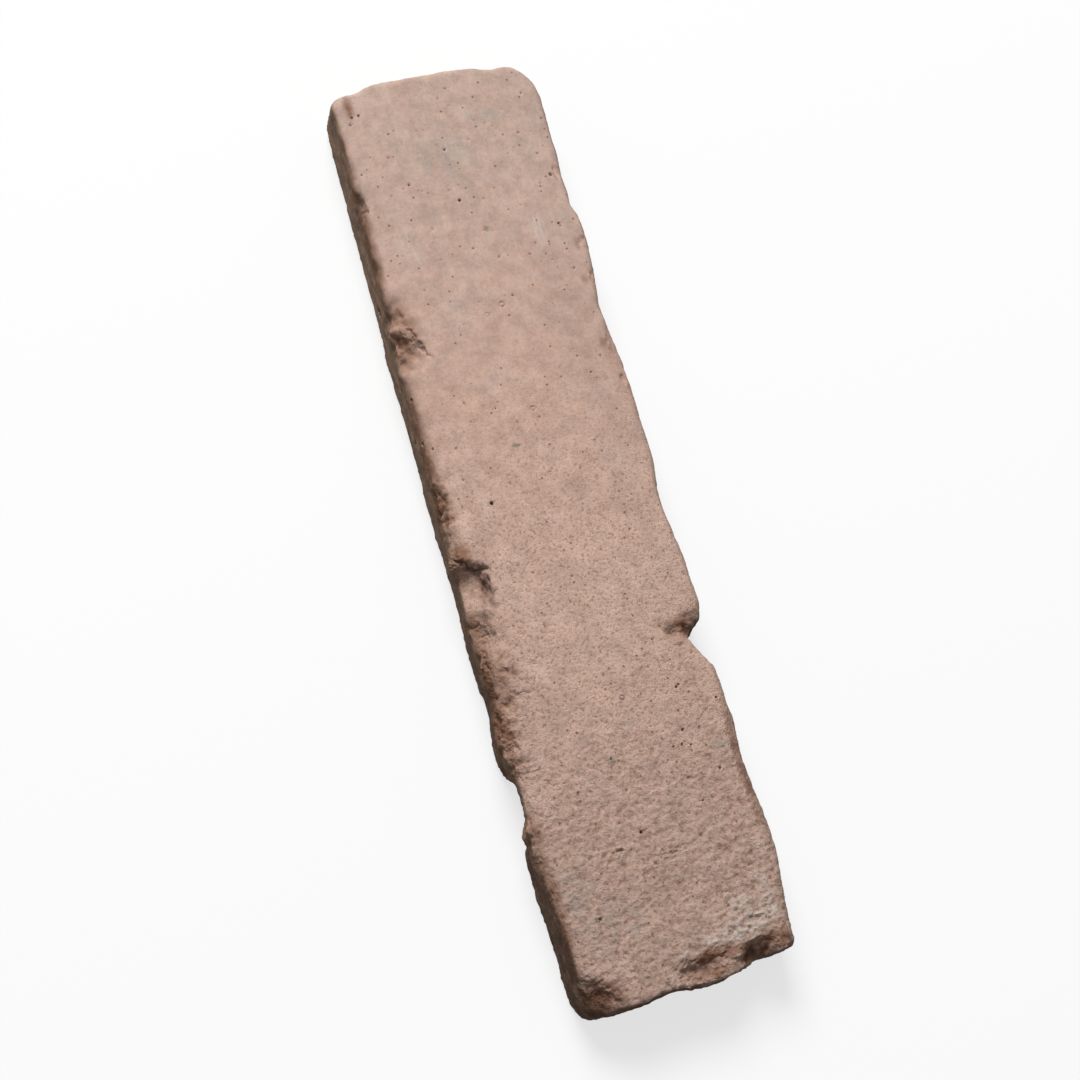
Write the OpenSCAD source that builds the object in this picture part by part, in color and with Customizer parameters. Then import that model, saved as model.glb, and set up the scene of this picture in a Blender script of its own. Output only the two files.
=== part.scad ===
// Wall cladding tile: a cast slip with the face of a weathered hand-made brick.
// It lies on its flat bedding face. +X runs along the course, +Y up the wall and +Z out of the wall.
// The origin is in the middle of the bedding face.

/* [Tile] */
// Length along the course, before the ends drift
tile_length = 221; // [120:1:300]
// Height up the wall, before the edges drift
tile_height = 51; // [36:1:90]
// Thickness from the bedding face to the front face
tile_thickness = 15; // [10:0.5:25]

/* [Edges] */
// Draft: how far each side but the left end leans in by the time it reaches the front face
draft = 0.4; // [0:0.1:1]
// Overhang: how far the left end leans out by the time it reaches the front face
left_overhang = 0.8; // [0:0.1:1.5]
// Radius of the front arris at the right end of the long edges, where it is sharpest
arris_sharp = 1.4; // [0.8:0.1:3]
// Radius of the front arris at the left end of the long edges, where it is most worn
arris_worn = 3.4; // [1:0.1:4]
// Radius of the front arris across the left end
arris_left = 1.2; // [0.8:0.1:3]
// Break along the back edge
back_break = 0.6; // [0.2:0.1:1.5]
// Radius of the corners in plan
corner_radius = 3; // [2.5:0.5:6]
// How strongly the edges wander, where 1 is as drawn
edge_drift = 1; // [0:0.1:1.2]
// How far chips, corner breaks and hollows bite, where 1 is as drawn
chip_scale = 1; // [0.3:0.1:1.2]

/* [Mesh] */
// Spacing of the points round the edge
edge_step = 2.2; // [1.6:0.1:4]
// Rows of points up the straight part of the side
wall_rows = 4; // [2:1:6]
// Rows of points round the front arris
arris_rows = 4; // [3:1:6]

/* [Hidden] */

half_length = tile_length / 2;
half_height = tile_height / 2;

// The edges were drawn on a tile of this size, and move with the tile when it changes.
drawn_half_length = 110.5;
drawn_half_height = 25.5;

// Rows on the front face, as distances in from the arris. Chips reach no further than the last.
face_rows = [1.5, 3.5, 6, 9];
// Distance in from the edge at which all rows would meet the core
core_depth = half_height * 0.6;
// The two ends of the spine stay this far in from the ends of the tile.
spine_inset = half_height * 0.5;

// Drift of each edge as [place along the edge from its middle, distance outward].
upper_drift = [[-110, 0], [-98, 0], [-86, 0.7], [-58, 0.8], [-52, 1.4], [-42, 0.4], [-26, 0.9], [-12, 0.3],
               [-8, 0.7], [18, 0.9], [45, 0.5], [65, 0.2], [76, -0.2], [81, 0.2], [90, -0.2], [104, -0.3]];
lower_drift = [[-109, -1.4], [-102, -1.1], [-95, -0.1], [-88, 0.9], [-80, 0.4], [-68, -0.5], [-58, 0.1],
               [-46, -0.3], [-39.4, -4], [-38.4, -4.6], [-35.6, -0.9], [-31, 0.7], [-20, 0.3], [-5, -1.1],
               [4, 0.3], [28, 0.3], [36, -0.3], [43, -1.4], [52, 0.1], [60, 0.8], [67.5, 0.9], [70.5, -0.6],
               [86, 0], [102, 0.2], [108, -1.4]];
left_drift = [[-24, -1.8], [-19, -0.7], [-16, -1.2], [-12, 0.3], [-7, 1], [0, 0.7], [7, 1.2], [13, 2.4],
              [24, 2.2]];
right_drift = [[-25, -1.9], [-19, 0.2], [-15, -0.3], [-12, 0.7], [-4, 1.3], [5, 1], [15.5, 0.6], [17.8, -0.8],
               [25, -1.4]];

// Wear of the upper arris as [place along the edge, share of the plain radius].
upper_wear = [[-110, 0.9], [-66, 1], [-56, 1.4], [-46, 1.5], [-30, 1.4], [-18, 0.9], [0, 1.3], [30, 1.3],
              [38, 0.8], [55, 0.6], [110, 0.6]];

// Chips on the front arris as [place along the edge, length, reach over the face, depth down the side, skew].
upper_chips = [[80, 7, 2.4, 4, 0], [62.5, 5, 1.8, 3, 0], [50, 8, 3, 2.2, 0], [40.5, 13, 6.5, 3.6, 10],
               [2, 9, 2.2, 3, 0], [-15.5, 12, 6.5, 5, -8], [-26, 18, 4.5, 4.5, 10], [-36, 11, 3, 7, 0],
               [-45, 9, 2, 3, 0], [-56, 8, 3, 3, 0]];
lower_chips = [[79, 8, 2.2, 1.4, 0], [34, 16, 3, 1.5, 0], [-37, 5, 9, 2.2, 17], [-68, 26, 3, 1.6, 0]];
left_chips = [[-15.5, 10, 3.4, 5, 0], [-2.5, 14, 3.8, 1.5, 0]];
right_chips = [[-15, 6, 1.5, 1.2, 0]];

// Corner breaks as [end, edge, reach along the edge, reach along the end, depth],
// where the end is -1 for left and 1 for right, and the edge -1 for lower and 1 for upper.
corner_breaks = [[-1, 1, 7.5, 8.5, 3.4], [-1, -1, 3, 2.5, 2.5], [1, 1, 2.5, 2.5, 2]];

// Hollows under the upper edge, open to the back, as [place along the edge, length, reach in, height].
upper_hollows = [[-65, 16, 4, 12], [-42, 9, 0.7, 6]];

function lerp(a, b, t) = a + (b - a) * t;
function clamp(v, limit) = min(max(v, -limit), limit);

// Plan outline

long_count = round((tile_length - 2 * corner_radius) / edge_step);
short_count = 2 * round((tile_height - 2 * corner_radius) / edge_step / 2);
arc_count = max(3, round(corner_radius * PI / 2 / edge_step) + 1);
arc_x = half_length - corner_radius;
arc_y = half_height - corner_radius;

// A straight run of points and a corner, each point as [x, y, outward x, outward y].
function run(from, to, count, out) =
    [for (i = [1:count - 1]) [each lerp(from, to, i / count), each out]];
function corner(centre, start) =
    [for (i = [0:arc_count])
        let (a = start + 90 * i / arc_count, out = [cos(a), sin(a)])
        [each centre + corner_radius * out, each out]];

// Counter-clockwise from the middle of the left end, the same above the middle as below it.
plain_outline = concat(
    [[-half_length, 0, -1, 0]],
    run([-half_length, 0], [-half_length, -arc_y], short_count / 2, [-1, 0]),
    corner([-arc_x, -arc_y], 180),
    run([-arc_x, -half_height], [arc_x, -half_height], long_count, [0, -1]),
    corner([arc_x, -arc_y], 270),
    run([half_length, -arc_y], [half_length, arc_y], short_count, [1, 0]),
    corner([arc_x, arc_y], 0),
    run([arc_x, half_height], [-arc_x, half_height], long_count, [0, 1]),
    corner([-arc_x, arc_y], 90),
    run([-half_length, arc_y], [-half_length, 0], short_count / 2, [-1, 0]));
point_count = len(plain_outline);

function along_edge(x) = x * drawn_half_length / half_length;
function along_end(y) = y * drawn_half_height / half_height;
function edge_out(x, side) =
    edge_drift * lookup(along_edge(x), side > 0 ? upper_drift : lower_drift);
function end_out(y, side) =
    edge_drift * lookup(along_end(y), side > 0 ? right_drift : left_drift);

// The outline after drift, and the core point that each of its points moves towards on the front face.
outline = [for (p = plain_outline)
    [p[0] + sign(p[2]) * p[2] ^ 2 * end_out(p[1], p[2]), p[1] + sign(p[3]) * p[3] ^ 2 * edge_out(p[0], p[3])]];
core = [for (p = plain_outline) [clamp(p[0], half_length - core_depth), clamp(p[1], half_height - core_depth)]];

// Chips, corner breaks and hollows

// Each bite is an ellipsoid as [centre, radii, turn about Z, direction in which it pushes the surface].
function edge_bite(c, side) =
    let (x = c[0] * half_length / drawn_half_length, reach = c[2] * chip_scale, depth = c[3] * chip_scale)
    [[x, side * (half_height + edge_out(x, side)), tile_thickness], [c[1] / 2, reach, depth], side * c[4],
     [0, -side * reach, -depth]];
function end_bite(c, side) =
    let (y = c[0] * half_height / drawn_half_height, reach = c[2] * chip_scale, depth = c[3] * chip_scale)
    [[side * (half_length + end_out(y, side)), y, tile_thickness], [reach, c[1] / 2, depth], side * c[4],
     [-side * reach, 0, -depth]];
function corner_bite(c) =
    let (reach = [c[2], c[3], c[4]] * chip_scale)
    [[c[0] * (half_length + end_out(c[1] * half_height, c[0])),
      c[1] * (half_height + edge_out(c[0] * half_length, c[1])), tile_thickness], reach, 0,
     [-c[0] * reach.x, -c[1] * reach.y, -reach.z]];
function hollow_bite(c, side) =
    let (x = c[0] * half_length / drawn_half_length, reach = c[2] * chip_scale)
    [[x, side * (half_height + edge_out(x, side)), 0], [c[1] / 2, reach, min(c[3], tile_thickness - arris_worn)],
     0, [0, -side, 0]];

bites = concat(
    [for (c = upper_chips) edge_bite(c, 1)],
    [for (c = lower_chips) edge_bite(c, -1)],
    [for (c = left_chips) end_bite(c, -1)],
    [for (c = right_chips) end_bite(c, 1)],
    [for (c = corner_breaks) corner_bite(c)],
    [for (c = upper_hollows) hollow_bite(c, 1)]);

// A vector in the bite's own axes, where the ellipsoid is a ball of radius 1.
function in_bite(v, b) =
    [(v.x * cos(b[2]) + v.y * sin(b[2])) / b[1].x, (v.y * cos(b[2]) - v.x * sin(b[2])) / b[1].y, v.z / b[1].z];

// A point inside a bite is pushed on until it leaves the far side of the ellipsoid.
function bitten(p, b) =
    let (q = in_bite(p - b[0], b), inside = 1 - q * q)
    inside <= 0 ? p :
    let (d = in_bite(b[3], b), dd = d * d, qd = q * d)
    p + b[3] * (sqrt(qd ^ 2 + dd * inside) - qd) / dd;
function worn(p, k = 0) = k == len(bites) ? p : worn(bitten(p, bites[k]), k + 1);

// Rows of points from the back edge up the side, round the arris and in over the face

// Radius of the arris at a point of the plain outline.
function arris_at(p) =
    let (plain = lerp(arris_worn, arris_sharp, (p[0] + half_length) / tile_length),
         edge = p[3] > 0 ? plain * lookup(along_edge(p[0]), upper_wear) : plain,
         end = p[2] < 0 ? arris_left : arris_sharp)
    lerp(edge, end, p[2] ^ 2);

// How far the side leans in at a point of the plain outline.
function lean_at(p) = lerp(draft, p[2] < 0 ? -left_overhang : draft, p[2] ^ 2);

// The section at one point of the outline as [distance in, height], from its arris radius and its lean.
function section(r, lean) =
    let (wall_top = tile_thickness - r)
    concat(
        [[back_break, 0]],
        [for (i = [0:wall_rows - 1])
            let (z = lerp(back_break, wall_top, i / wall_rows)) [lean * z / wall_top, z]],
        [for (i = [0:arris_rows])
            let (a = 90 * i / arris_rows) [lean + r * (1 - cos(a)), wall_top + r * sin(a)]],
        [for (d = face_rows) [lean + r + d, tile_thickness]]);

columns = [for (i = [0:point_count - 1])
    [for (s = section(arris_at(plain_outline[i]), lean_at(plain_outline[i])))
        let (p = lerp(outline[i], core[i], s[0] / core_depth))
        worn([p.x, p.y, s[1]])]];
row_count = len(columns[0]);

// The spine lies under the middle of the face and of the back, and the last row on each side is joined to it.
half_way = point_count / 2;
spine_first = min([for (i = [0:half_way]) if (plain_outline[i].x >= spine_inset - half_length) i]);
spine_last = max([for (i = [0:half_way]) if (plain_outline[i].x <= half_length - spine_inset) i]);
spine_x = [for (i = [spine_first:spine_last]) plain_outline[i].x];
function spine_of(i) = min(max(min(i, point_count - i), spine_first), spine_last) - spine_first;

row_points = [for (r = [0:row_count - 1]) for (c = columns) c[r]];
back_spine = len(row_points);
front_spine = back_spine + len(spine_x);
points = concat(
    row_points,
    [for (x = spine_x) [x, 0, 0]],
    [for (x = spine_x) [x, 0, tile_thickness]]);

function at(r, i) = r * point_count + i % point_count;

side_faces = [for (r = [0:row_count - 2]) for (i = [0:point_count - 1])
    each [[at(r, i), at(r + 1, i), at(r + 1, i + 1)], [at(r, i), at(r + 1, i + 1), at(r, i + 1)]]];

// One strip from a row to the spine. Faces wind clockwise seen from outside.
function spine_faces(r, spine, front) =
    [for (i = [0:point_count - 1])
        let (s = spine + spine_of(i), t = spine + spine_of((i + 1) % point_count),
             a = at(r, i), b = at(r, i + 1),
             strip = s == t ? [[a, s, b]] : [[a, t, b], [a, s, t]])
        each (front ? strip : [for (f = strip) [f[0], f[2], f[1]]])];

module cladding_tile()
    color("rosybrown")
    polyhedron(points, concat(
        side_faces, spine_faces(0, back_spine, false), spine_faces(row_count - 1, front_spine, true)));

cladding_tile();
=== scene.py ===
"""A thin cast concrete cladding tile with the worn, broken face of an old hand-made brick.

The tile is one cast piece. Its outline, thickness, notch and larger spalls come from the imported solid, which
is copied into a mesh of small even quads. The finer relief is worked into that mesh: crisp spall rims, rubble
inside them, cracks, creases, pinholes and the crumpled texture of the worn end. Lengths in the lists are
millimetres in the tile's own frame: x along the course, y up the wall, z out of the face.
"""

import math

import bmesh
import bpy
import numpy as np
from mathutils import Matrix, Vector, noise


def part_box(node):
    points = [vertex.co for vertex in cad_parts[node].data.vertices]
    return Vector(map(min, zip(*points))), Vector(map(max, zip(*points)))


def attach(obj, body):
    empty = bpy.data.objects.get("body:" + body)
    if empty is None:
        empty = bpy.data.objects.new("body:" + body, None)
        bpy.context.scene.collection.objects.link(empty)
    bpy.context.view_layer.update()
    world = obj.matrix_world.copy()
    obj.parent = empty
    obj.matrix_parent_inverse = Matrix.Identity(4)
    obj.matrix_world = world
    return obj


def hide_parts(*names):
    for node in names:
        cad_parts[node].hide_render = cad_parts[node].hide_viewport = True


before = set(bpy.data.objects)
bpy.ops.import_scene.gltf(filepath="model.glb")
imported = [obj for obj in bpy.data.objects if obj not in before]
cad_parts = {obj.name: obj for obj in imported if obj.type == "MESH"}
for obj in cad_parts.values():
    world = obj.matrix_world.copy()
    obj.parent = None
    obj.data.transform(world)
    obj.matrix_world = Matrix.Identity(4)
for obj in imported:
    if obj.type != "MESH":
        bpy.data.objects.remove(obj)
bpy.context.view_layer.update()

bl_info = {
    "name": "Cladding Tile",
    "version": (1, 0, 0),
    "blender": (4, 5, 0),
    "location": "View3D > Sidebar > Cladding",
    "description": "Builds a worn cast concrete cladding tile and its stage",
    "category": "Object",
}

MM = 0.001
NODE = "cladding_tile"
FACE_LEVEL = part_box(NODE)[1].z / MM

# The back: points lower than this, and faces that point down more than this, belong to it.
BACK_LEVEL = 0.01
BACK_FACING = -0.9

# The y above which a point belongs to the strip along the upper arris.
UPPER_STRIP = 20

# Depths under the face between which something fades out: filling, leaning of the sides, wear of the face.
FILL_FADE = (8, 5)
LEAN_FADE = (10, 4)
WEAR_FADE = (9, 4)

# Depths down to which the mesh is made finer: at the worn end, where the face is broken or cut, at bubbles.
WORN_DEPTH = 3
BROKEN_DEPTH = 4
BUBBLE_DEPTH = 2

# How far the finer mesh goes past a groove, a bubble in the face and a pit in the side.
GROOVE_MARGIN = 0.6
BUBBLE_MARGIN = 0.4
SIDE_PIT_MARGIN = 0.5

# Where the finer mesh of the worn end starts along x, and how far that line wavers.
WORN_START = -44
WORN_START_WAVER = 6

# Rubble that is stronger than this gets the finer mesh.
FINE_RUBBLE = 0.6

# Passes of easing that the whole tile gets.
EASING = 4

# Spalls, in shares of their radii: how far off points are looked at, where the rim starts, and where it is
# full of rubble.
SPALL_SEARCH = 1.5
RIM_OUTSIDE = 1.12
RIM_INSIDE = 0.98

# The size of the lumps by which a spall's surface wavers.
SPALL_LUMP = 2.6

# Grooves: how far they wander off their lines, the half width past which they are darkened less, and the
# depth at which they are darkened fully, with dirt and painted shade.
GROOVE_BEND = 0.9
DIRT_AND_SHADE_WIDTH = 0.6
DIRT_AND_SHADE_DEPTH = 0.8

# Pits and rings, in shares of their radius: depth of a pit, depth of a ring's line and half its width.
PIT_DEPTH = 3
RING_DEPTH = 0.6
RING_WIDTH = 0.45

# The radius at which a pinhole has closed up.
CLOSED_PINHOLE = 0.15

# Edges that bend by more than this angle in degrees are drawn sharp.
SHARP_ANGLE = 60

# The floor: half its side in metres, its drop under the tile in millimetres, and the share of its white that
# glows.
FLOOR_HALF_SIDE = 40.0
FLOOR_DROP = 0.05
FLOOR_GLOW = 0.7

# The lamp's place and width in metres.
KEY_PLACE = (1.5, 0.16, 1.6)
KEY_SIZE = 1.2

# The camera: turn round the tile, rise over the floor and roll in degrees, then the place it looks at, its
# distance and its sensor in millimetres.
CAMERA_TURN = -129.88
CAMERA_RISE = 67.82
CAMERA_ROLL = 25.66
CAMERA_TARGET = (-4.82, 2.35, 0)
CAMERA_DISTANCE = 518
SENSOR_WIDTH = 36

# Directions in which a spall is knocked off each edge: inwards from the edge and down from the face.
FROM_UPPER = (0.0, -0.55, -0.84)
FROM_LOWER = (0.0, 0.55, -0.84)
FROM_NEAR = (0.6, 0.0, -0.8)

# The notch in the lower edge, with its sharp corner in the middle, as points on the face.
NOTCH = [(-45.4, -23.6), (-38.9, -20.1), (-35.1, -23.6)]

# The far lower corner, which is worn round: the middle of its curve, its radius, and the share by which that
# grows towards the sides.
ROUND_CORNER = ((103.1, -17.9), 5.85, 0.18)

# Stretches of the upper arris that were rubbed round: from x, to x, passes of easing.
RUBBED_ARRIS = [(-62, -6, 8), (-6, 12, 14), (12, 36, 70), (50, 96, 5)]

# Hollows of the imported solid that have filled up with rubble: place, reach along x and y, share of the depth.
FILLED = [
    ((-108.4, -19.4), (3.4, 3.2), 0.8), ((-106.0, -14.0), (1.8, 3.4), 0.9),
    ((-106.4, -17.4), (2.0, 2.6), 0.9), ((-36.4, 25.0), (4.0, 2.6), 0.6),
    ((43.4, 25.2), (4.0, 2.4), 0.55), ((-10.8, 22.8), (1.8, 2.2), 0.8), ((-34.2, -18.6), (2.2, 3.2), 0.7),
    ((-111, -2), (2.4, 5), 0.3),
]

# Stretches where the face runs out over the side: place, reach along x and y, how far, and which way.
OVERHANGS = [
    ((-111.5, -2), (2.5, 5), 1.4, (-1, 0)), ((-77, 26), (7, 2.5), 1.1, (0, 1)),
    ((-53, 26), (9, 2.5), 0.9, (0, 1)), ((-36, 26), (6, 2.5), 0.7, (0, 1)),
    ((-8, 26), (4, 2.5), 0.6, (0, 1)), ((-22, 26), (8, 2.5), 0.9, (0, 1)),
]

# Spalls: centre (x, y, its depth under the face), radii (x, y, z), turn in degrees, knocked from, roughness.
# Old ones have been worn round since, fresh ones still have a crisp rim.
OLD_SPALLS = [
    ((-111.2, -13.8, 0.8), (2.8, 3.0, 2.6), 0, FROM_NEAR, 0.45),
    ((3.0, 28.4, 0.6), (8.0, 3.2, 2.4), 0, FROM_UPPER, 0.30),
    ((42.0, 25.4, 0.0), (6.4, 5.2, 1.2), -12, FROM_UPPER, 0.35),
    ((51.4, 25.6, 0.0), (4.0, 3.2, 1.0), 0, FROM_UPPER, 0.35),
]
FRESH_SPALLS = [
    ((79.4, 26.0, 0.4), (3.4, 2.8, 2.6), 0, FROM_UPPER, 0.30),
    ((62.6, 26.2, 0.6), (2.0, 1.7, 2.0), 0, FROM_UPPER, 0.30),
    ((-1.0, 25.6, 0.0), (2.0, 2.2, 1.4), 0, FROM_UPPER, 0.40),
    ((4.4, 26.0, 0.2), (2.0, 2.2, 1.5), 0, FROM_UPPER, 0.40),
    ((9.0, 26.6, 0.4), (2.2, 1.8, 1.6), 0, FROM_UPPER, 0.40),
    ((-17.4, 26.6, 0.0), (6.2, 6.0, 1.9), 4, FROM_UPPER, 0.25),
    ((-25.5, 27.2, 0.0), (2.6, 3.6, 1.2), 0, FROM_UPPER, 0.30),
    ((34.4, -23.4, -0.2), (2.2, 1.6, 1.0), 0, FROM_LOWER, 0.25),
    ((24.0, -24.2, -0.2), (2.0, 1.4, 0.9), 0, FROM_LOWER, 0.25),
    ((79.4, -23.8, -0.2), (2.6, 1.7, 1.0), 0, FROM_LOWER, 0.25),
    ((51.0, -24.6, -0.2), (2.0, 1.6, 1.0), 0, FROM_LOWER, 0.30),
    ((60.6, -24.6, -0.2), (1.8, 1.4, 0.9), 0, FROM_LOWER, 0.30),
]

# Grooves, cracks and slits in the face, each as points (x, y, half width, depth).
GROOVES = [
    [(-12.6, 18.2, 0.3, 0.3), (-12.9, 20, 0.6, 0.7), (-12.8, 21.6, 0.8, 0.9), (-11.9, 23.4, 0.8, 0.9),
     (-10.6, 24.4, 0.6, 0.7), (-9.0, 25.4, 0.4, 0.4)],
    [(-22.6, 19.7, 0.8, 0.5), (-20, 20.4, 1.1, 0.8), (-17, 21, 1.3, 0.9), (-13.6, 21.4, 1.1, 0.9)],
    [(-28.2, 21.8, 0.4, 0.2), (-27.9, 23.4, 0.8, 0.6), (-27.4, 25.2, 0.6, 0.4)],
    [(-27.7, 22.6, 0.5, 0.3), (-26.6, 23.8, 0.6, 0.4), (-25.6, 24.6, 0.5, 0.3)],
    [(-24.9, 24.6, 0.5, 0.3), (-24.7, 25.6, 0.9, 0.9), (-24.3, 26.8, 0.7, 0.5)],
    [(-37.4, 24.4, 0.4, 0.2), (-35, 25, 0.7, 0.5), (-32.6, 25.2, 0.8, 0.6), (-30.4, 25.6, 0.5, 0.3)],
    [(-41.7, 22.0, 0.4, 0.2), (-42.3, 19.8, 0.6, 0.45), (-42.8, 17.9, 0.4, 0.2)],
    [(-36.9, 22.2, 0.4, 0.2), (-37.6, 20.2, 0.6, 0.5), (-38.2, 18.6, 0.4, 0.2)],
    [(-37.0, 17, 0.3, 0.15), (-36.8, 15.4, 0.4, 0.35), (-37.2, 14, 0.3, 0.15)],
    [(-14.9, 16, 0.3, 0.1), (-15.3, 14.6, 0.35, 0.2), (-15.9, 13.4, 0.3, 0.1)],
    [(-42.0, 26.3, 0.4, 0.2), (-41.7, 25.2, 0.7, 0.4), (-41.9, 24, 0.4, 0.2)],
    [(-55.8, 24.8, 0.4, 0.2), (-54.6, 24, 0.6, 0.35), (-53.2, 24.4, 0.4, 0.2)],
    [(-58.4, 26.5, 0.7, 0.3), (-57.8, 24.6, 0.8, 0.3), (-58.2, 22, 0.4, 0.1)],
    [(-60.0, 24.0, 0.6, 0.2), (-60.6, 22.6, 0.8, 0.3), (-60.2, 20.4, 0.4, 0.1)],
    [(-62.0, 21, 0.4, 0.15), (-63.6, 20, 0.5, 0.2), (-64.6, 18.4, 0.4, 0.1)],
    [(-57.5, -17, 0.5, 0.1), (-55.6, -18.8, 0.7, 0.25), (-54, -20.4, 0.5, 0.1)],
    [(-81.0, 9.2, 0.6, 0.45), (-81.4, 8, 0.5, 0.3), (-81.9, 6.9, 0.3, 0.1)],
    [(-84.0, -0.6, 0.4, 0.1), (-84.7, -2.6, 0.6, 0.25), (-84.4, -4.4, 0.4, 0.1)],
    [(-68.8, -10, 0.4, 0.1), (-69.3, -12.2, 0.6, 0.25), (-68.6, -14.6, 0.4, 0.1)],
    [(107.6, 21.8, 1.2, 0.3), (104.5, 21.2, 1.0, 0.25), (102, 20.8, 0.7, 0.2)],
    [(109.2, 15, 0.9, 0.2), (105.4, 14.3, 0.5, 0.1)],
    [(-40.7, -16.6, 0.4, 0.2), (-40.4, -17.6, 0.5, 0.35), (-40.2, -18.4, 0.4, 0.2)],
    [(-37.8, -18.4, 0.5, 0.3), (-37, -16.8, 0.8, 0.5), (-35.4, -15.2, 0.6, 0.3), (-34, -14.2, 0.4, 0.1)],
    [(-109.8, 5.6, 1.2, 0.3), (-109.9, 3, 2.0, 0.7), (-109.9, 0, 2.6, 0.9), (-109.4, -3, 2.6, 0.9),
     (-108.6, -6, 2.0, 0.7), (-107.8, -8.8, 1.2, 0.4)],
    [(-105.0, 25.4, 0.7, 0.3), (-107, 23.2, 1.0, 0.4), (-108.6, 20.8, 1.0, 0.4), (-110.6, 18.6, 0.6, 0.2)],
    [(35.8, 17.6, 0.3, 0.15), (38.2, 18.4, 0.5, 0.4), (41, 19.6, 0.6, 0.55), (44.0, 20.8, 0.6, 0.5),
     (46.2, 22.2, 0.5, 0.3)],
]

# Areas of rubble round the spalls: place, reach along x and y, strength.
BROKEN_AREAS = [
    ((-36, -19.5), (3, 4.4), 1.2), ((-110.5, 22.5), (4, 5), 1.0), ((45.5, 23.6), (9, 3.6), 1.1),
    ((-16, 22.5), (7, 4), 0.6), ((-27, 25), (5, 4), 0.9), ((-33, 26), (7, 3), 1.4),
    ((-48, 26), (10, 3.2), 1.2), ((-58, 25.5), (5, 3.2), 0.8), ((-72, 26), (3.5, 2.4), 1.0),
    ((3, 26), (9, 2.8), 1.3), ((-9, 25.5), (4, 3), 1.1), ((-82, 27), (8, 2), 0.6),
    ((-110.5, -3), (2.5, 8), 0.6), ((-109.4, -14), (2.4, 3.8), 1.6), ((78, 25), (6, 1.8), 0.5),
    ((62, 25.5), (4, 1.5), 0.45), ((33, -22.5), (6, 2), 0.6), ((-38, 21), (14, 4), 0.5),
    ((-12, 20), (12, 5), 0.4), ((-45, 23.5), (5, 2.5), 0.8), ((-36, 22.5), (4, 2.5), 0.9),
]

# Lumps above the surface, and dents where the height is negative: place, radius, height.
LUMPS = [
    ((-55.5, 25.4), 1.5, 0.6), ((-54.3, 24.1), 1.1, -0.4), ((-50.6, 24.6), 1.0, 0.3),
    ((-49.2, 23.4), 0.9, -0.3), ((-46.4, 25.4), 1.3, 0.3), ((-44.6, 24.2), 0.9, -0.3),
    ((-39.1, -17.6), 0.9, 0.5), ((106.0, 24.4), 1.6, 0.3), ((-108.6, -9.6), 1.2, 0.8),
    ((-71.5, 26.6), 2.0, 0.4), ((-10.0, 24.0), 1.8, 0.8), ((-10.2, 26.8), 1.8, 1.2),
    ((-38.4, 24.6), 2.0, 0.8), ((-35.8, 24.4), 2.0, 0.9), ((-33.4, 24.6), 1.8, 0.7),
    ((36.4, 23.6), 3.0, 0.4), ((40.5, 26.8), 1.2, 0.5), ((41.2, 24.3), 1.4, -0.6),
    ((43.8, 23.8), 1.5, -0.6), ((46.6, 25.2), 1.2, 0.5), ((48.4, 23.4), 0.8, -0.4),
    ((51.0, 26.0), 1.2, -0.5), ((53.0, 24.4), 0.8, -0.4), ((42.6, 21.6), 1.8, 0.5),
    ((0.4, 25.2), 0.7, -0.6), ((5.2, 24.2), 0.6, -0.5), ((-0.4, 23.8), 0.6, -0.4),
    ((-26.4, 26.9), 1.6, 0.5), ((50.4, 23.4), 1.2, -0.5), ((53.6, 23.0), 1.0, -0.5),
    ((37.6, 25.2), 1.5, 0.4), ((39.3, 24.6), 0.9, -0.5), ((48.4, 25.0), 1.4, 0.4),
    ((45.2, 22.2), 1.2, 0.4), ((-44.0, 22.6), 1.2, -0.4), ((-40.2, 23.4), 1.2, -0.4),
    ((-34.4, 22.0), 1.2, -0.4), ((-31.6, 23.4), 1.2, 0.4), ((-30.2, 21.8), 1.0, -0.4),
    ((-56.0, 23.2), 1.6, 0.4), ((-52.4, 22.6), 1.0, -0.3), ((-72.6, 25.6), 1.4, 0.5),
    ((-58.8, 25.2), 1.0, 0.4),
]

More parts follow.
